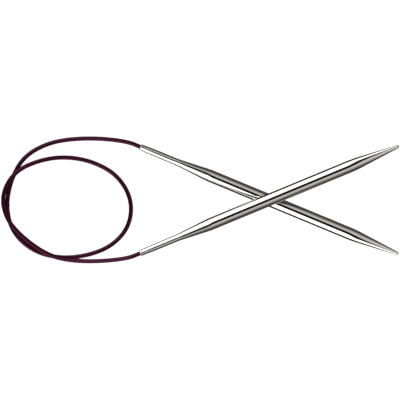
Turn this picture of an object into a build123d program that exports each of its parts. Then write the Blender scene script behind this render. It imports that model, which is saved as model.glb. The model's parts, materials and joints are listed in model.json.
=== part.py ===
from build123d import *

import os
from math import asin, atan, cos, hypot, pi, radians, sin, tan

# A circular knitting needle: two hollow metal needles joined by one flexible nylon cable.
#
# Frame, in millimetres: +Z is up and z = 0 is the surface that the needle lies on. The two
# needles lie crossed over the origin with their points towards +X, the cable loops round
# towards -X, and the origin is the middle of the two needles in plan.
#
# Each needle is worked out along its own axis, from the mouth of the neck at 0, where the
# cable comes out, to the end of the point. "bottom" is the needle that lies on the surface
# and "top" is the one that crosses over it.

# Needles
needle_length = 135.0  # from the mouth of the neck to the end of the point
shank_diameter = 6.0  # the needle's size, which sets the size of the stitches
cross_angle = 22.5  # degrees between each needle and the X axis, in plan
mouth_to_crossing = 67.05  # along each needle, from its mouth to where the two cross
needle_gap = 0.6  # height between the two shanks where they cross

# Point: a solid cone with a ball end and a spigot pressed into the shank tube
point_taper = 23.5  # from the cone's shoulder to the end of the ball
point_end_diameter = 1.7  # of the ball at the very end
point_land = 3.5  # straight stretch behind the shoulder, flush with the shank tube
point_ease = 2.8  # reach of the arc that eases the shoulder, to each side of it

# Shank tube
tube_wall = 0.8

# Tail ferrule: the neck that the cable comes out of, a cone and a spigot in the shank tube
neck_length = 20.0
cone_length = 16.0
tail_land = 2.0  # straight stretch after the cone, flush with the shank tube
mouth_wall = 0.325  # the neck's wall at its mouth,
swage_wall = 0.5  # where its swaged mouth begins,
neck_wall = 0.575  # and where the cone starts
swage_length = 4.5  # length of the swaged mouth
mouth_rounding = 0.2
swage_ease = 0.8  # reach of the arc that eases the swaged mouth into the neck
cone_ease = 1.6  # reach of the arcs that ease both ends of the cone

# Both spigots
spigot_length = 6.0
spigot_chamfer = 0.4

# Swivel sleeve: crimped on the end of the cable, and turns freely in the ferrule
sleeve_length = 10.0
sleeve_wall = 0.35
sleeve_chamfer = 0.15
crimp_gap = 0.02  # between the cable and the sleeve
crimp_groove_width = 0.8
crimp_groove_depth = 0.12
crimp_groove_places = (-0.25, 0.0, 0.25)  # shares of the sleeve's length, from its middle
turning_gap = 0.05  # between the sleeve and its chamber, all round
sleeve_end_gap = 0.15  # between the sleeve and each end of its chamber
lip_thickness = 0.8  # the ferrule's rolled lip, which keeps the sleeve in

# Cable
cable_diameter = 2.1
cable_bore_gap = 0.075  # between the cable and the bore of the neck, all round
cable_lead = 6.5  # the cable runs straight on from each mouth to its first bend
arc_share = 0.45  # share of the shorter run that each bend's arc takes up

# The cable's bends between the two leads, in order from the bottom needle to the top one.
# The first lap lies on the surface. The second lap starts inside the first one, climbs on
# to it before the first crossing, lies over it across all three crossings, and then rises
# to the top needle.
cable_bends = [
    (-81.0, 29.8, 2.0),
    (-95.0, 29.7, 1.2),
    (-107.5, 27.5, 1.1),
    (-119.0, 21.0, 1.1),
    (-125.0, 10.0, 1.1),
    (-127.5, -3.0, 1.1),
    (-124.5, -15.6, 1.1),
    (-114.6, -24.7, 1.1),
    (-102.0, -28.2, 1.1),
    (-88.9, -27.2, 1.1),
    (-76.2, -22.4, 1.1),
    (-67.6, -12.7, 1.1),
    (-66.5, 0.5, 1.1),
    (-73.5, 12.0, 1.1),
    (-85.0, 18.5, 1.1),
    (-98.0, 21.0, 2.0),
    (-110.5, 19.5, 3.4),
    (-123.0, 14.0, 3.7),
    (-129.4, 3.0, 3.7),
    (-127.5, -9.0, 3.7),
    (-118.5, -18.9, 3.7),
    (-106.5, -27.0, 3.8),
    (-95.0, -29.5, 4.9),
    (-81.5, -29.6, 7.2),
]

# Worked out from the sizes above
shank_radius = shank_diameter / 2
tube_bore = shank_radius - tube_wall
cable_radius = cable_diameter / 2
point_end_radius = point_end_diameter / 2
shoulder = needle_length - point_taper
shank_end = shoulder - point_land
cone_end = neck_length + cone_length
shank_start = cone_end + tail_land
neck_bore = cable_radius + cable_bore_gap
sleeve_bore = cable_radius + crimp_gap
sleeve_radius = sleeve_bore + sleeve_wall
chamber_radius = sleeve_radius + turning_gap
spigot_end = shank_start + spigot_length
chamber_end = spigot_end - lip_thickness
sleeve_end = chamber_end - sleeve_end_gap
sleeve_start = sleeve_end - sleeve_length
chamber_start = sleeve_start - sleeve_end_gap

# Where each needle lies: the height of its axis, and the side of the X axis its neck is on
crossing_x = (2 * mouth_to_crossing - needle_length) * cos(radians(cross_angle)) / 2
needles = {
    "bottom": (shank_radius, 1),
    "top": (3 * shank_radius + needle_gap, -1),
}


def needle_plane(height, side):
    """A plane with its origin at a needle's mouth, X along the needle and Y upwards."""
    along = Vector(cos(radians(cross_angle)), -side * sin(radians(cross_angle)), 0)
    mouth = Vector(crossing_x, 0, height) - along * mouth_to_crossing
    return Plane(origin=mouth, x_dir=along, z_dir=along.cross(Vector(0, 0, 1)))


def needle_axis(plane):
    return Axis(origin=plane.origin, direction=plane.x_dir)


def corner_turn(before, corner, after):
    """How far the line turns at a corner, in radians."""
    return radians((corner - before).get_angle(after - corner))


def easing_radii(outline, reaches):
    """The arc at each corner of an outline that reaches a given way along both its lines."""
    points = [Vector(*point) for point in outline]
    corners = zip(points, points[1:], points[2:], reaches)
    return [reach / tan(corner_turn(*corner) / 2) for *corner, reach in corners]


def make_point(plane):
    """The solid point: a cone tangent to its ball end, eased into the shank, and a spigot."""
    ball_centre = needle_length - point_end_radius
    cone_run = ball_centre - shoulder
    slope = atan(shank_radius / cone_run) - asin(point_end_radius / hypot(cone_run, shank_radius))
    ball_start = (
        ball_centre + point_end_radius * sin(slope),
        point_end_radius * cos(slope),
    )
    outline = [(shank_end, shank_radius), (shoulder, shank_radius), ball_start]
    spigot_start = shank_end - spigot_length
    with BuildPart() as point:
        with BuildSketch(plane):
            with BuildLine():
                FilletPolyline(*outline, radius=easing_radii(outline, [point_ease]))
                TangentArc(ball_start, (needle_length, 0), tangent=(cos(slope), -sin(slope)))
                Polyline(
                    (needle_length, 0),
                    (spigot_start, 0),
                    (spigot_start, tube_bore - spigot_chamfer),
                    (spigot_start + spigot_chamfer, tube_bore),
                    (shank_end, tube_bore),
                    (shank_end, shank_radius),
                )
            make_face()
        revolve(axis=needle_axis(plane))
    return point


def make_shank_tube(plane):
    """The straight tube that gauges the stitches, open at both ends for the spigots."""
    with BuildPart() as shank_tube:
        with BuildSketch(plane):
            with BuildLine():
                Polyline(
                    (shank_start, tube_bore),
                    (shank_start, shank_radius),
                    (shank_end, shank_radius),
                    (shank_end, tube_bore),
                    close=True,
                )
            make_face()
        revolve(axis=needle_axis(plane))
    return shank_tube


def make_tail_ferrule(plane):
    """The neck and cone behind the shank, bored for the cable, with the sleeve's chamber."""
    outline = [
        (0, neck_bore + mouth_wall),
        (swage_length, neck_bore + swage_wall),
        (neck_length, neck_bore + neck_wall),
        (cone_end, shank_radius),
        (shank_start, shank_radius),
    ]
    radii = easing_radii(outline, [swage_ease, cone_ease, cone_ease])
    with BuildPart() as tail_ferrule:
        with BuildSketch(plane):
            with BuildLine():
                FilletPolyline((0, neck_bore), *outline, radius=[mouth_rounding, *radii])
                Polyline(
                    (shank_start, shank_radius),
                    (shank_start, tube_bore),
                    (spigot_end - spigot_chamfer, tube_bore),
                    (spigot_end, tube_bore - spigot_chamfer),
                    (spigot_end, neck_bore),
                    (chamber_end, neck_bore),
                    (chamber_end, chamber_radius),
                    (chamber_start, chamber_radius),
                    (chamber_start, neck_bore),
                    (0, neck_bore),
                )
            make_face()
        revolve(axis=needle_axis(plane))
    return tail_ferrule


def make_swivel_sleeve(plane):
    """The crimped sleeve that holds the cable in the ferrule and lets it turn."""
    sleeve_middle = (sleeve_start + sleeve_end) / 2
    with BuildPart() as swivel_sleeve:
        with BuildSketch(plane):
            with BuildLine():
                Polyline(
                    (sleeve_start, sleeve_bore),
                    (sleeve_start, sleeve_radius - sleeve_chamfer),
                    (sleeve_start + sleeve_chamfer, sleeve_radius),
                    (sleeve_end - sleeve_chamfer, sleeve_radius),
                    (sleeve_end, sleeve_radius - sleeve_chamfer),
                    (sleeve_end, sleeve_bore),
                    close=True,
                )
            make_face()
            for place in crimp_groove_places:
                with Locations((sleeve_middle + place * sleeve_length, sleeve_radius)):
                    Rectangle(crimp_groove_width, 2 * crimp_groove_depth, mode=Mode.SUBTRACT)
        revolve(axis=needle_axis(plane))
    return swivel_sleeve


def bend_radii(points):
    """The largest arc that each bend's two runs leave room for."""
    radii = []
    for before, here, after in zip(points, points[1:], points[2:]):
        run = min((here - before).length, (after - here).length)
        radii.append(arc_share * run / tan(corner_turn(before, here, after) / 2))
    return radii


def make_cable(bottom_plane, top_plane):
    """The cable: its route between the two mouths, and its two ends inside the ferrules."""
    points = [
        bottom_plane.origin,
        bottom_plane.origin - bottom_plane.x_dir * cable_lead,
        *(Vector(*bend) for bend in cable_bends),
        top_plane.origin - top_plane.x_dir * cable_lead,
        top_plane.origin,
    ]
    radii = bend_radii(points)
    with BuildPart() as cable:
        with BuildLine():
            route = FilletPolyline(*points, radius=radii)
        with BuildSketch(Plane(origin=route @ 0, z_dir=route % 0)):
            Circle(cable_radius)
        sweep(path=route)
        free_volume = cable.part.volume
        for plane in (bottom_plane, top_plane):
            with BuildSketch(Plane(origin=plane.origin, z_dir=plane.x_dir)):
                Circle(cable_radius)
            extrude(amount=sleeve_end)
    print("cable radii:", ", ".join(f"{radius:.1f}" for radius in radii))
    print(f"free cable length: {route.length:.1f}")
    print(f"swept / section x length: {free_volume / (pi * cable_radius**2 * route.length):.5f}")
    return cable


def save(piece, label):
    piece.part.label = label
    export_step(piece.part, f"parts/{label}.step")


os.makedirs("parts", exist_ok=True)
planes = {name: needle_plane(*place) for name, place in needles.items()}
for name, plane in planes.items():
    save(make_point(plane), f"{name}_point")
    save(make_shank_tube(plane), f"{name}_shank_tube")
    save(make_tail_ferrule(plane), f"{name}_tail_ferrule")
    save(make_swivel_sleeve(plane), f"{name}_swivel_sleeve")
save(make_cable(planes["bottom"], planes["top"]), "cable")
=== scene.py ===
import json
from math import asin, atan, cos, hypot, pi, sin, tau

import bmesh
import bpy
from bpy.props import FloatProperty, FloatVectorProperty, IntProperty, PointerProperty
from bpy.types import Operator, Panel, PropertyGroup
from mathutils import Matrix, Vector
from mathutils.geometry import interpolate_bezier


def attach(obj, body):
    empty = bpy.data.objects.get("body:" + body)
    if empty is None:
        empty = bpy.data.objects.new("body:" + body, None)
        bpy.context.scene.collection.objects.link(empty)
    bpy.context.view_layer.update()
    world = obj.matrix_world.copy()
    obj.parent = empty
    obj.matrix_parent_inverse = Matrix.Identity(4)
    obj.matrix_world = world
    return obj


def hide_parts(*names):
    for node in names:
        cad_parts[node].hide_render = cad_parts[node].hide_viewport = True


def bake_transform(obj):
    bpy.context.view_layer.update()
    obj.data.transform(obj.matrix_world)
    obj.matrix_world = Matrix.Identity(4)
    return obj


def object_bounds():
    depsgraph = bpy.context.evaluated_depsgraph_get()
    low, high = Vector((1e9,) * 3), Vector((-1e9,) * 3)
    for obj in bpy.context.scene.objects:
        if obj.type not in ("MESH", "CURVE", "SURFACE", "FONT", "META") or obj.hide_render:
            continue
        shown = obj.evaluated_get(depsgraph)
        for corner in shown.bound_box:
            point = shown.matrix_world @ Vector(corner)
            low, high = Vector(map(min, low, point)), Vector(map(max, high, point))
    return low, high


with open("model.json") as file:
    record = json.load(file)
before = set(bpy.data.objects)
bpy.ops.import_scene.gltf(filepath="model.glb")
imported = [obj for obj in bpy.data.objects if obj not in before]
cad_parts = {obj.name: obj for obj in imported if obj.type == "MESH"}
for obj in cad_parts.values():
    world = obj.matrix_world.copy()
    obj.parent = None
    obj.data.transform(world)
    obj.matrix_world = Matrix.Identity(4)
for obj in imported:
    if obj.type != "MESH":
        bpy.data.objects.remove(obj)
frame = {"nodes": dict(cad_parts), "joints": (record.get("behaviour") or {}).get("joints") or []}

bl_info = {
    "name": "Circular knitting needle",
    "version": (1, 0, 0),
    "blender": (4, 5, 0),
    "location": "3D View > Sidebar > Knitting",
    "description": "Two polished metal needles joined by one flexible nylon cable",
    "category": "Object",
}

CAD_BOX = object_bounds()
JOINTS = {joint["name"]: joint for joint in frame["joints"]}
UP = Vector((0, 0, 1))

ON_AXIS = 1e-7  # a turned outline's radius below which it meets the axis
SHARP_FROM = 0.5  # an edge that turns more than this, in radians, is drawn sharp
EASING_STEPS = 10  # points of the curve at each eased corner
BALL_STEPS = 14  # steps of the arc at the end of each point
UV_PER_METRE = 100  # the cable's UV map counts centimetres


# ---------------------------------------------------------------- where the needles lie


class Needle:
    """One needle: its name, its body, and the plane of its mouth, with X along the needle."""

    def __init__(self, name):
        turn = JOINTS[f"{name}_needle_turn"]
        self.name = name
        self.body = turn["child"]
        self.mouth = Vector(turn["pos_m"])
        self.along = Vector(turn["axis"]).normalized()
        across = UP.cross(self.along)
        self.place = Matrix((self.along, across, UP)).transposed().to_4x4()
        self.place.translation = self.mouth

    def reach(self, part):
        """A CAD part's nearest and furthest place along the needle, and its largest radius."""
        back = self.place.inverted()
        vertices = frame["nodes"][f"{self.name}_{part}"].data.vertices
        points = [back @ vertex.co for vertex in vertices]
        along = [point.x for point in points]
        return min(along), max(along), max(hypot(point.y, point.z) for point in points)


BOTTOM = Needle("bottom")
NEEDLES = (BOTTOM, Needle("top"))

SPIGOT_START, NEEDLE_LENGTH, _ = BOTTOM.reach("point")
SHANK_START, SHANK_END, SHANK_RADIUS = BOTTOM.reach("shank_tube")
_, FERRULE_END, _ = BOTTOM.reach("tail_ferrule")


# ---------------------------------------------------------------- sizes and finishes


def length(name, default, description):
    return FloatProperty(
        name=name,
        default=default,
        min=0,
        precision=5,
        subtype="DISTANCE",
        unit="LENGTH",
        description=description,
    )


def colour(name, default, description):
    return FloatVectorProperty(
        name=name, default=default, size=3, min=0, max=1, subtype="COLOR", description=description
    )


def share(name, default, description):
    return FloatProperty(
        name=name, default=default, min=0, max=1, subtype="FACTOR", description=description
    )


def number(name, default, low, high, description):
    return FloatProperty(name=name, default=default, min=low, max=high, description=description)


def count(name, default, low, high, description):
    return IntProperty(name=name, default=default, min=low, max=high, description=description)


class NeedleSizes(PropertyGroup):
    """Sizes of one needle, from the mouth of its neck to the end of its point"""

    shank_radius: length("Shank radius", SHANK_RADIUS, "Half the needle's size")
    point_taper: length("Point taper", 0.0235, "From the cone's shoulder to the end of the ball")
    point_end_radius: length("Point end radius", 0.00085, "Radius of the ball at the very end")
    point_ease: length("Point easing", 0.0028, "Reach of the curve that eases the shoulder")
    tube_wall: length("Tube wall", 0.0008, "Thickness of the shank tube's wall")
    neck_length: length("Neck length", 0.020, "From the mouth to the start of the cone")
    cone_length: length("Cone length", 0.016, "From the neck to the full shank")
    cone_ease: length("Cone easing", 0.0016, "Reach of the curves at both ends of the cone")
    neck_bore: length("Neck bore", 0.001125, "Radius of the bore that the cable comes out of")
    mouth_radius: length("Mouth radius", 0.00145, "Outside radius of the neck at its mouth")
    mouth_rounding: length("Mouth rounding", 0.0002, "Rounding of the neck's outer edge")
    swage_length: length("Swage length", 0.0045, "Length of the swaged stretch at the mouth")
    swage_radius: length("Swage radius", 0.001625, "Outside radius where the swaging begins")
    swage_ease: length("Swage easing", 0.0008, "Reach of the curve where the swaging begins")
    neck_radius: length("Neck radius", 0.0017, "Outside radius where the cone starts")
    chamber_radius: length("Chamber radius", 0.00147, "Radius of the sleeve's chamber")
    chamber_length: length("Chamber length", 0.0103, "Length of the sleeve's chamber")
    lip_thickness: length("Lip thickness", 0.0008, "The rolled lip that keeps the sleeve in")
    spigot_chamfer: length("Spigot chamfer", 0.0004, "Chamfer at the end of each spigot")
    seam: length("Seam", 0.00003, "Depth of the hairline seam between two pressed pieces")
    facets: count("Facets", 128, 24, 512, "Facets round each turned piece")


class CableSizes(PropertyGroup):
    """Sizes of the cable"""

    diameter: length("Diameter", 0.0021, "Thickness of the cable")
    free_length: length("Free length", 0.3373, "Length of the cable between the two mouths")
    inside: length("Inside the neck", 0.003, "How far each end runs on inside its neck")
    lead: length("Lead", 0.0065, "How far the cable runs straight out of each neck")
    flex_reach: length("Flex reach", 0.0245, "How far either side of the middle the cable bends")
    facets: count("Facets", 32, 12, 128, "Facets round the cable")
    steps: count("Steps", 18, 4, 64, "Rings between two points of the route")


class Finishes(PropertyGroup):
    """Colours and polish of the materials"""

    nickel: colour("Nickel", (0.80, 0.775, 0.735), "Polished nickel plate")
    nickel_shade: colour("Nickel shade", (0.72, 0.685, 0.635), "The plate where it has dulled")
    polish: share("Polish", 0.022, "Roughness of the plate where it is brightest")
    nylon: colour("Nylon", (0.021, 0.0004, 0.0070), "The cable's deep plum")
    nylon_bright: colour("Bright nylon", (0.045, 0.0006, 0.0160), "Its plum where it is paler")
    nylon_gloss: share("Nylon gloss", 0.20, "Roughness of the cable")
    steel: colour("Sleeve steel", (0.56, 0.55, 0.53), "Bright drawn steel of the swivel sleeves")


class StageSizes(PropertyGroup):
    """The camera, the floor and the light"""

    camera_height: length("Camera height", 1.6, "Height of the camera above the floor")
    margin: number("Margin", 1.0082, 1, 2, "Width of the view over the object's width")
    camera_shift: length("Camera shift", 0.00013, "The camera's place along X, past the middle")
    floor_width: length("Floor width", 16.0, "Width of the square floor")
    floor: colour("Floor", (0.40, 0.40, 0.40), "Pale matt floor")
    floor_glow: share("Floor glow", 0.90, "Light that the floor gives off, against shadows")
    light: number("Light", 2.1, 0, 20, "Strength of the soft light all round")


GROUPS = {"needle": NeedleSizes, "cable": CableSizes, "finish": Finishes, "stage": StageSizes}


def settings(name):
    """The scene's own sizes of one group."""
    return getattr(bpy.context.scene, f"knitting_{name}")


# ---------------------------------------------------------------- shader maths


class Signal:
    """A socket of a node tree. Arithmetic on it adds Math nodes."""

    def __init__(self, shader, socket):
        self.shader, self.socket = shader, socket

    def __add__(self, other):
        return self.shader.math("ADD", self, other)

    def __sub__(self, other):
        return self.shader.math("SUBTRACT", self, other)

    def __rsub__(self, other):
        return self.shader.math("SUBTRACT", other, self)

    def __mul__(self, other):
        return self.shader.math("MULTIPLY", self, other)

    def __truediv__(self, other):
        return self.shader.math("DIVIDE", self, other)

    def __rtruediv__(self, other):
        return self.shader.math("DIVIDE", other, self)

    __radd__ = __add__
    __rmul__ = __mul__

    def clamped(self):
        """The value, kept between 0 and 1."""
        return self.shader.math("ADD", self, 0.0, clamp=True)

    def above(self, low, high):
        """0 up to low, 1 from high, and a straight slope between."""
        return ((self - low) / (high - low)).clamped()


class Shader:
    """A material's or a world's node tree, cleared."""

    def __init__(self, owner):
        owner.use_nodes = True
        self.tree = owner.node_tree
        self.tree.nodes.clear()

    def node(self, kind, settings=None, sockets=None, output=0):
        """A new node with its settings, then its sockets' values or links, as a Signal."""
        made = self.tree.nodes.new(kind)
        for name, value in (settings or {}).items():
            if name == "stops":
                self.set_stops(made.color_ramp.elements, value)
            else:
                setattr(made, name, value)
        for name, value in (sockets or {}).items():
            if isinstance(value, Signal):
                self.tree.links.new(value.socket, made.inputs[name])
            else:
                made.inputs[name].default_value = value
        return Signal(self, made.outputs[output]) if made.outputs else None

    @staticmethod
    def set_stops(elements, stops):
        """A ramp's stops: (place, colour)."""
        while len(elements) < len(stops):
            elements.new(1)
        for element, (place, tint) in zip(elements, stops):
            element.position, element.color = place, (*tint, 1)

    def math(self, operation, *values, clamp=False):
        """A Math node on numbers or Signals."""
        choices = {"operation": operation, "use_clamp": clamp}
        return self.node("ShaderNodeMath", choices, dict(enumerate(values)))

    def mix(self, first, second, factor):
        """A colour between two colours, by the Mix node's factor and its two colour sockets."""
        first, second = (
            value if isinstance(value, Signal) else (*value, 1) for value in (first, second)
        )
        sockets = {0: factor, 6: first, 7: second}
        return self.node("ShaderNodeMix", {"data_type": "RGBA"}, sockets, output=2)

    def ramp(self, stops, place):
        """A colour that runs through the stops as the place goes from 0 to 1."""
        return self.node("ShaderNodeValToRGB", {"stops": stops}, {"Fac": place})

    def axes(self, place, names="XYZ"):
        """The numbers that make up a place, one Signal for each axis."""
        return [
            self.node("ShaderNodeSeparateXYZ", {}, {"Vector": place}, output=axis) for axis in names
        ]

    def bump(self, strength, depth, height):
        """A surface that rises by up to the depth, in metres, with the height."""
        sockets = {"Strength": strength, "Distance": depth, "Height": height}
        return self.node("ShaderNodeBump", {}, sockets)

    def noise(self, place, scale, detail=2.0):
        """Cloudy patches, so many to each unit of the place."""
        sockets = {"Vector": place, "Scale": scale, "Detail": detail}
        return self.node("ShaderNodeTexNoise", {}, sockets)

    def stretched(self, place, scale):
        """The place, scaled along each axis."""
        return self.node("ShaderNodeMapping", {}, {"Vector": place, "Scale": scale})

    def finish(self, **sockets):
        """The Principled shader and the output. A name's underscore stands for its space."""
        named = {name.replace("_", " "): value for name, value in sockets.items()}
        surface = self.node("ShaderNodeBsdfPrincipled", {}, named)
        self.node("ShaderNodeOutputMaterial", {}, {"Surface": surface})


def material(name):
    """A new material and its shader."""
    made = bpy.data.materials.new(name)
    return made, Shader(made)


# Marks to the metre: along the needle first, then across it
TURNED_LINES = (2600, 90, 90)
POLISHING_LINES = (45, 2400, 2400)
SCRATCHES = (900, 5200, 5200)
DRAWN_LINES = (400, 3000, 3000)
HAZE = 160.0
CRIMP_MARKS = 500.0
PAPER_GRAIN = 900.0

# Marks on the cable: across it twice, by its own radius, then to the centimetre along it
NYLON_DEPTH = (0.5, 0.5, 0.8)
NYLON_LINES = (9.0, 9.0, 0.35)
NYLON_SPECKS = (14.0, 14.0, 42.0)


def polished_nickel(name, is_turned):
    """Bright plate: long polishing lines, or turned ones on a point, haze and fine scratches."""
    finish = settings("finish")
    made, shader = material(name)
    place = shader.node("ShaderNodeTexCoord", output="Object")
    line_scale = TURNED_LINES if is_turned else POLISHING_LINES
    lines = shader.noise(shader.stretched(place, line_scale), 1.0, 3.0)
    haze = shader.noise(place, HAZE, 3.0)
    scratches = shader.noise(shader.stretched(place, SCRATCHES), 1.0, 1.0).above(0.70, 0.78)
    wear = haze.above(0.42, 0.72)
    bump = shader.bump(0.06, 0.00002, lines * 0.35 + haze * 0.15 - scratches * 0.5)
    shader.finish(
        Base_Color=shader.mix(finish.nickel, finish.nickel_shade, wear * 0.45 + scratches * 0.3),
        Metallic=1.0,
        Roughness=finish.polish + lines * 0.015 + wear * 0.02 + scratches * 0.10,
        Normal=bump,
    )
    return made


def plum_nylon():
    """Extruded nylon: glossy, with faint lines along it and slow changes of depth."""
    finish = settings("finish")
    made, shader = material("plum_nylon")
    place = shader.node("ShaderNodeUVMap", {"uv_map": "round_and_along"})
    turns, along = shader.axes(place, "XY")
    angle = turns * tau
    ring = {"X": shader.math("COSINE", angle), "Y": shader.math("SINE", angle), "Z": along}
    around = shader.node("ShaderNodeCombineXYZ", {}, ring)
    depth = shader.noise(shader.stretched(around, NYLON_DEPTH), 1.0, 2.0)
    lines = shader.noise(shader.stretched(around, NYLON_LINES), 1.0, 3.0)
    specks = shader.noise(shader.stretched(around, NYLON_SPECKS), 1.0, 1.0).above(0.66, 0.76)
    bump = shader.bump(0.14, 0.00003, lines * 0.6 - specks * 0.5)
    paleness = depth.above(0.35, 0.72) * 0.8 + lines * 0.15
    shader.finish(
        Base_Color=shader.mix(finish.nylon, finish.nylon_bright, paleness),
        Roughness=finish.nylon_gloss + lines * 0.08 + specks * 0.12,
        IOR=1.45,
        Specular_Tint=(1.0, 0.30, 0.60, 1),
        Normal=bump,
    )
    return made


def drawn_steel():
    """Bright drawn steel: lines along the sleeve, and duller where it was crimped."""
    finish = settings("finish")
    made, shader = material("drawn_steel")
    place = shader.node("ShaderNodeTexCoord", output="Object")
    lines = shader.noise(shader.stretched(place, DRAWN_LINES), 1.0, 3.0)
    dull = shader.noise(place, CRIMP_MARKS).above(0.4, 0.7)
    bump = shader.bump(0.2, 0.00003, lines)
    shade = [0.72 * part for part in finish.steel]
    shader.finish(
        Base_Color=shader.mix(finish.steel, shade, dull * 0.6 + lines * 0.2),
        Metallic=1.0,
        Roughness=0.24 + lines * 0.1 + dull * 0.1,
        Normal=bump,
    )
    return made


def pale_floor():
    """Smooth matt paper."""
    stage = settings("stage")
    made, shader = material("pale_floor")
    place = shader.node("ShaderNodeTexCoord", output="Object")
    grain = shader.noise(place, PAPER_GRAIN)
    shade = [0.985 * part for part in stage.floor]
    shader.finish(
        Base_Color=shader.mix(stage.floor, shade, grain),
        Roughness=0.9,
        Specular_IOR_Level=0.0,
        Emission_Color=(1, 1, 1, 1),
        Emission_Strength=stage.floor_glow,
    )
    return made


# ---------------------------------------------------------------- making meshes


def eased(outline):
    """An outline's points, with a curve at each corner that has a reach: (along, radius, reach)."""
    corners = [Vector((along, radius, 0)) for along, radius, _ in outline]
    points = []
    for place, (_, _, reach) in enumerate(outline):
        corner = corners[place]
        if not reach:
            points.append(corner)
            continue
        start, end = (
            corner + (corners[place + step] - corner).normalized() * reach for step in (-1, 1)
        )
        handles = (start.lerp(corner, 2 / 3), end.lerp(corner, 2 / 3))
        points += interpolate_bezier(start, *handles, end, EASING_STEPS)
    return [(point.x, point.y) for point in points]


def finished_mesh(name, bare):
    """Writes the bmesh into an object of that name, smooth but for its real edges."""
    mesh = bpy.data.meshes.new(name)
    bmesh.ops.recalc_face_normals(bare, faces=bare.faces)
    bare.to_mesh(mesh)
    bare.free()
    mesh.shade_smooth()
    mesh.set_sharp_from_angle(angle=SHARP_FROM)
    made = bpy.data.objects.new(name, mesh)
    bpy.context.scene.collection.objects.link(made)
    return made


def turned(name, outline, needle, facets):
    """A turned piece: the outline of (along, radius) revolved about the needle's axis."""
    bare = bmesh.new()
    rings = []
    for along, radius in outline:
        if radius < ON_AXIS:
            rings.append([bare.verts.new((along, 0, 0))] * facets)
        else:
            angles = (tau * side / facets for side in range(facets))
            spots = ((along, radius * cos(angle), radius * sin(angle)) for angle in angles)
            rings.append([bare.verts.new(spot) for spot in spots])
    pairs = list(zip(rings, rings[1:]))
    if outline[0][1] > ON_AXIS:  # bored right through, so the outline closes on itself
        pairs.append((rings[-1], rings[0]))
    for first, second in pairs:
        for side in range(facets):
            following = (side + 1) % facets
            corners = (first[side], first[following], second[following], second[side])
            corners = list(dict.fromkeys(corners))  # three where a ring is the axis itself
            if len(corners) > 2:
                bare.faces.new(corners)
    made = finished_mesh(name, bare)
    made.matrix_world = needle.place
    return made


def smooth_line(points, steps):
    """The points of the smooth spline that has these points as its control points."""
    curve = bpy.data.curves.new("route", "CURVE")
    curve.dimensions = "3D"
    curve.resolution_u = steps
    spline = curve.splines.new("NURBS")
    spline.points.add(len(points) - 1)
    for control, point in zip(spline.points, points):
        control.co = (*point, 1)
    spline.order_u = 3
    spline.use_endpoint_u = True
    holder = bpy.data.objects.new("route", curve)
    mesh = bpy.data.meshes.new_from_object(holder)
    line = [vertex.co.copy() for vertex in mesh.vertices]
    bpy.data.meshes.remove(mesh)
    bpy.data.curves.remove(curve)
    return line


def tube(name, line, radius, facets):
    """A closed tube along a line. Its UV map goes once round, and counts centimetres along."""
    bare = bmesh.new()
    neighbours = zip([line[0], *line], [*line[1:], line[-1]])
    ahead = [(after - before).normalized() for before, after in neighbours]
    side = ahead[0].orthogonal().normalized()
    rings, along, travelled = [], [], 0.0
    for place, (point, direction) in enumerate(zip(line, ahead)):
        side = (side - direction * side.dot(direction)).normalized()
        up = direction.cross(side)
        travelled += (point - line[max(place - 1, 0)]).length
        along.append(travelled * UV_PER_METRE)
        angles = (tau * step / facets for step in range(facets))
        spokes = (side * cos(angle) + up * sin(angle) for angle in angles)
        rings.append([bare.verts.new(point + spoke * radius) for spoke in spokes])
    layer = bare.loops.layers.uv.new("round_and_along")
    for place in range(len(rings) - 1):
        for step in range(facets):
            following = (step + 1) % facets
            first, second = rings[place], rings[place + 1]
            face = bare.faces.new((first[step], first[following], second[following], second[step]))
            spots = [(step, place), (step + 1, place), (step + 1, place + 1), (step, place + 1)]
            for loop, (turn, ring) in zip(face.loops, spots):
                loop[layer].uv = (turn / facets, along[ring])
    bare.faces.new(rings[0])
    bare.faces.new(reversed(rings[-1]))
    return finished_mesh(name, bare)


def point_outline(sizes):
    """The point: a spigot, a land flush with the tube, a cone and a ball end tangent to it."""
    shoulder = NEEDLE_LENGTH - sizes.point_taper
    ball = sizes.point_end_radius
    centre = NEEDLE_LENGTH - ball
    run = centre - shoulder
    slope = atan(sizes.shank_radius / run) - asin(ball / hypot(run, sizes.shank_radius))
    bore = sizes.shank_radius - sizes.tube_wall
    spigot = eased([
        (SPIGOT_START, 0, 0),
        (SPIGOT_START, bore - sizes.spigot_chamfer, 0),
        (SPIGOT_START + sizes.spigot_chamfer, bore, 0),
        (SHANK_END, bore, 0),
        (SHANK_END, sizes.shank_radius - sizes.seam, 0),
        (SHANK_END + sizes.seam, sizes.shank_radius, 0),
        (shoulder, sizes.shank_radius, sizes.point_ease),
        (centre + ball * sin(slope), ball * cos(slope), 0),
    ])
    turns = [(pi / 2 - slope) * (1 - step / BALL_STEPS) for step in range(1, BALL_STEPS)]
    ball_end = [(centre + ball * cos(angle), ball * sin(angle)) for angle in turns]
    return [*spigot, *ball_end, (NEEDLE_LENGTH, 0)]


def shank_outline(sizes):
    """The straight tube that gauges the stitches, its two ends broken by a hair."""
    bore = sizes.shank_radius - sizes.tube_wall
    return [
        (SHANK_START, bore),
        (SHANK_START, sizes.shank_radius - sizes.seam),
        (SHANK_START + sizes.seam, sizes.shank_radius),
        (SHANK_END - sizes.seam, sizes.shank_radius),
        (SHANK_END, sizes.shank_radius - sizes.seam),
        (SHANK_END, bore),
    ]


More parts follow.
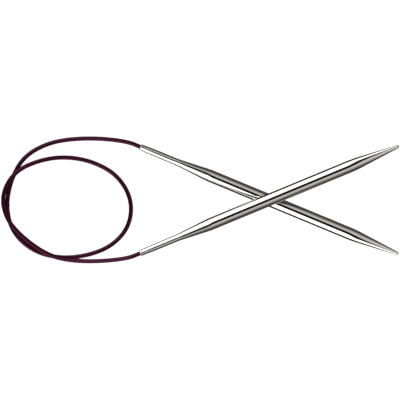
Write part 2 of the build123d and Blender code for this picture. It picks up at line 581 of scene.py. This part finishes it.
def ferrule_outline(sizes):
    """The neck, its swaged mouth, the cone, the spigot and the sleeve's chamber."""
    cone_end = sizes.neck_length + sizes.cone_length
    tube_bore = sizes.shank_radius - sizes.tube_wall
    chamber_end = FERRULE_END - sizes.lip_thickness
    chamber_start = chamber_end - sizes.chamber_length
    return eased([
        (0, sizes.neck_bore, 0),
        (0, sizes.mouth_radius, sizes.mouth_rounding),
        (sizes.swage_length, sizes.swage_radius, sizes.swage_ease),
        (sizes.neck_length, sizes.neck_radius, sizes.cone_ease),
        (cone_end, sizes.shank_radius, sizes.cone_ease),
        (SHANK_START - sizes.seam, sizes.shank_radius, 0),
        (SHANK_START, sizes.shank_radius - sizes.seam, 0),
        (SHANK_START, tube_bore, 0),
        (FERRULE_END - sizes.spigot_chamfer, tube_bore, 0),
        (FERRULE_END, tube_bore - sizes.spigot_chamfer, 0),
        (FERRULE_END, sizes.neck_bore, 0),
        (chamber_end, sizes.neck_bore, 0),
        (chamber_end, sizes.chamber_radius, 0),
        (chamber_start, sizes.chamber_radius, 0),
        (chamber_start, sizes.neck_bore, 0),
    ])


def cable_route(cable):
    """The route from inside the bottom needle's neck, twice round, to inside the top one's."""
    bends = (
        (-0.0810, 0.0298, 0.0020),
        (-0.0950, 0.0297, 0.0012),
        (-0.1075, 0.0275, 0.0011),
        (-0.1190, 0.0210, 0.0011),
        (-0.1250, 0.0100, 0.0011),
        (-0.1275, -0.0030, 0.0011),
        (-0.1245, -0.0156, 0.0011),
        (-0.1146, -0.0247, 0.0011),
        (-0.1020, -0.0282, 0.0011),
        (-0.0889, -0.0272, 0.0011),
        (-0.0762, -0.0224, 0.0011),
        (-0.0676, -0.0127, 0.0011),
        (-0.0665, 0.0005, 0.0011),
        (-0.0735, 0.0120, 0.0011),
        (-0.0850, 0.0185, 0.0011),
        (-0.0980, 0.0210, 0.0020),
        (-0.1105, 0.0195, 0.0034),
        (-0.1230, 0.0140, 0.0037),
        (-0.1294, 0.0030, 0.0037),
        (-0.1275, -0.0090, 0.0037),
        (-0.1185, -0.0189, 0.0037),
        (-0.1065, -0.0270, 0.0038),
        (-0.0950, -0.0295, 0.0049),
        (-0.0815, -0.0296, 0.0072),
    )
    reaches = (cable.inside, 0, -cable.lead)
    ends = [[needle.mouth + needle.along * reach for reach in reaches] for needle in NEEDLES]
    return [*ends[0], *bends, *reversed(ends[1])]


def dress(piece, finish):
    """Gives a piece its material."""
    piece.data.materials.append(finish)


def turned_pieces(part, outline, is_turned):
    """The same turned piece on both needles, in place of the CAD part of that name."""
    sizes = settings("needle")
    finish = polished_nickel(f"nickel_{part}", is_turned)
    for needle in NEEDLES:
        piece = turned(f"{needle.name}_{part}_plated", outline(sizes), needle, sizes.facets)
        dress(piece, finish)
        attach(piece, needle.body)
        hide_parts(f"{needle.name}_{part}")


# ---------------------------------------------------------------- operators


SENSOR_WIDTH = 36  # the camera's, in millimetres
VIEW_NEAR, VIEW_FAR = 0.01, 100  # what the camera sees, in metres
FLOOR_SQUARES = 8

# The studio's walls, from straight down at 0, past the horizon at 0.5, to straight up at 1
WHITE_WALL = (
    (0.00, (0.018, 0.0175, 0.0165)),
    (0.48, (0.018, 0.0175, 0.0165)),
    (0.51, (1.0, 1.0, 1.0)),
    (1.00, (1.0, 1.0, 1.0)),
)
SHADED_WALL = (
    (0.00, (0.035, 0.034, 0.032)),
    (0.31, (0.035, 0.034, 0.031)),
    (0.51, (0.027, 0.026, 0.024)),
    (0.663, (0.085, 0.0825, 0.078)),
    (0.788, (0.215, 0.209, 0.198)),
    (0.89, (0.310, 0.300, 0.285)),
    (1.00, (0.330, 0.320, 0.305)),
)
DARK = (0.006, 0.006, 0.005)

# Edges in the studio: each is soft between two values of a direction's X, slanted with its Y
WHITE_EDGE = (-0.160, -0.140)
WHITE_SLANT, WHITE_SLANT_OVER = 0.12, (0.36, 1.20)
WHITE_NOTCH, WHITE_NOTCH_OVER = 0.25, (0.72, 0.90)
SHADED_EDGE = (0.230, 0.255)
SHADED_SLANT = 0.3
DOORWAY_EDGE = (-0.10, 0.10)
DOORWAY_SLANT = 0.75


class KNITTING_OT_stage(Operator):
    """The camera overhead, the pale floor and the soft light"""

    bl_idname = "knitting.stage"
    bl_label = "Stage"

    def execute(self, context):
        sizes = settings("stage")
        low, high = CAD_BOX
        data = bpy.data.cameras.new("overhead")
        data.sensor_width = SENSOR_WIDTH
        data.lens = data.sensor_width * sizes.camera_height / ((high.x - low.x) * sizes.margin)
        data.clip_start, data.clip_end = VIEW_NEAR, VIEW_FAR
        camera = bpy.data.objects.new("overhead", data)
        middle = (low + high) / 2
        camera.location = (middle.x + sizes.camera_shift, 0, sizes.camera_height)
        context.scene.collection.objects.link(camera)
        context.scene.camera = camera
        context.scene.view_settings.view_transform = "Standard"
        self.add_floor(sizes)
        self.add_room(context, sizes)
        return {"FINISHED"}

    @staticmethod
    def add_floor(sizes):
        """The floor, which the metal doesn't mirror."""
        bare = bmesh.new()
        bmesh.ops.create_grid(
            bare, x_segments=FLOOR_SQUARES, y_segments=FLOOR_SQUARES, size=sizes.floor_width / 2
        )
        floor = finished_mesh("floor", bare)
        floor.data.materials.append(pale_floor())
        floor.visible_glossy = False

    @staticmethod
    def add_room(context, sizes):
        """Seen in the metal: a white wall at -X, a shaded one at +X, and dark between them."""
        world = bpy.data.worlds.new("studio")
        context.scene.world = world
        shader = Shader(world)
        x, y, z = shader.axes(shader.node("ShaderNodeTexCoord", output="Generated"))
        height = z * 0.5 + 0.5
        white = shader.ramp(WHITE_WALL, height)
        shaded = shader.ramp(SHADED_WALL, height)
        across = shader.math("ABSOLUTE", y)
        slant = across.above(*WHITE_SLANT_OVER) * WHITE_SLANT
        notch = (0.0 - y).above(*WHITE_NOTCH_OVER) * WHITE_NOTCH
        past_white = (x - slant - notch).above(*WHITE_EDGE)
        past_doorway = (across + x * DOORWAY_SLANT).above(*DOORWAY_EDGE)
        past_dark = (x + across * SHADED_SLANT).above(*SHADED_EDGE)
        right = shader.mix(DARK, shaded, past_dark)
        left = shader.mix(DARK, white, past_doorway)
        room = shader.mix(left, right, past_white)
        seen = shader.node("ShaderNodeLightPath", output="Is Camera Ray")
        pale = shader.mix(room, (1.0, 1.0, 1.0), seen)
        sockets = {"Color": pale, "Strength": sizes.light}
        background = shader.node("ShaderNodeBackground", {}, sockets)
        shader.node("ShaderNodeOutputWorld", {}, {"Surface": background})


class KNITTING_OT_cable(Operator):
    """The nylon cable, twice round from one neck to the other"""

    bl_idname = "knitting.cable"
    bl_label = "Cable"

    def execute(self, context):
        sizes = settings("cable")
        line = smooth_line(cable_route(sizes), sizes.steps)
        piece = tube("nylon_cable", line, sizes.diameter / 2, sizes.facets)
        dress(piece, plum_nylon())
        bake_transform(piece)
        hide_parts("cable")
        return {"FINISHED"}


class KNITTING_OT_points(Operator):
    """The two solid tapered points"""

    bl_idname = "knitting.points"
    bl_label = "Points"

    def execute(self, context):
        turned_pieces("point", point_outline, is_turned=True)
        return {"FINISHED"}


class KNITTING_OT_shanks(Operator):
    """The two hollow shank tubes"""

    bl_idname = "knitting.shanks"
    bl_label = "Shank tubes"

    def execute(self, context):
        turned_pieces("shank_tube", shank_outline, is_turned=False)
        return {"FINISHED"}


class KNITTING_OT_ferrules(Operator):
    """The two tail ferrules, neck and cone"""

    bl_idname = "knitting.ferrules"
    bl_label = "Tail ferrules"

    def execute(self, context):
        turned_pieces("tail_ferrule", ferrule_outline, is_turned=False)
        return {"FINISHED"}


class KNITTING_OT_sleeves(Operator):
    """The steel finish of the two crimped sleeves inside the ferrules"""

    bl_idname = "knitting.sleeves"
    bl_label = "Swivel sleeves"

    def execute(self, context):
        steel = drawn_steel()
        for needle in NEEDLES:
            sleeve = frame["nodes"][f"{needle.name}_swivel_sleeve"]
            if not sleeve.material_slots:
                raise RuntimeError(f"{sleeve.name} has no slot for its steel finish")
            for slot in sleeve.material_slots:
                slot.material = steel
        return {"FINISHED"}


class KNITTING_PT_parts(Panel):
    """Lists the stage and the pieces, with their sizes and finishes"""

    bl_label = "Circular knitting needle"
    bl_idname = "KNITTING_PT_parts"
    bl_space_type = "VIEW_3D"
    bl_region_type = "UI"
    bl_category = "Knitting"

    def draw(self, context):
        for operator in OPERATORS:
            self.layout.operator(operator.bl_idname)
        for name, group in GROUPS.items():
            box = self.layout.box()
            box.label(text=group.__doc__)
            for size in group.__annotations__:
                box.prop(settings(name), size)


OPERATORS = (
    KNITTING_OT_stage,
    KNITTING_OT_cable,
    KNITTING_OT_points,
    KNITTING_OT_shanks,
    KNITTING_OT_ferrules,
    KNITTING_OT_sleeves,
)
CLASSES = (*GROUPS.values(), *OPERATORS, KNITTING_PT_parts)


def register():
    for kind in CLASSES:
        bpy.utils.register_class(kind)
    for name, group in GROUPS.items():
        setattr(bpy.types.Scene, f"knitting_{name}", PointerProperty(type=group))


def unregister():
    for name in GROUPS:
        delattr(bpy.types.Scene, f"knitting_{name}")
    for kind in reversed(CLASSES):
        bpy.utils.unregister_class(kind)


def main():
    register()
    bpy.ops.knitting.stage()
    bpy.ops.knitting.cable()
    bpy.ops.knitting.points()
    bpy.ops.knitting.shanks()
    bpy.ops.knitting.ferrules()
    bpy.ops.knitting.sleeves()


if __name__ == "__main__":
    main()
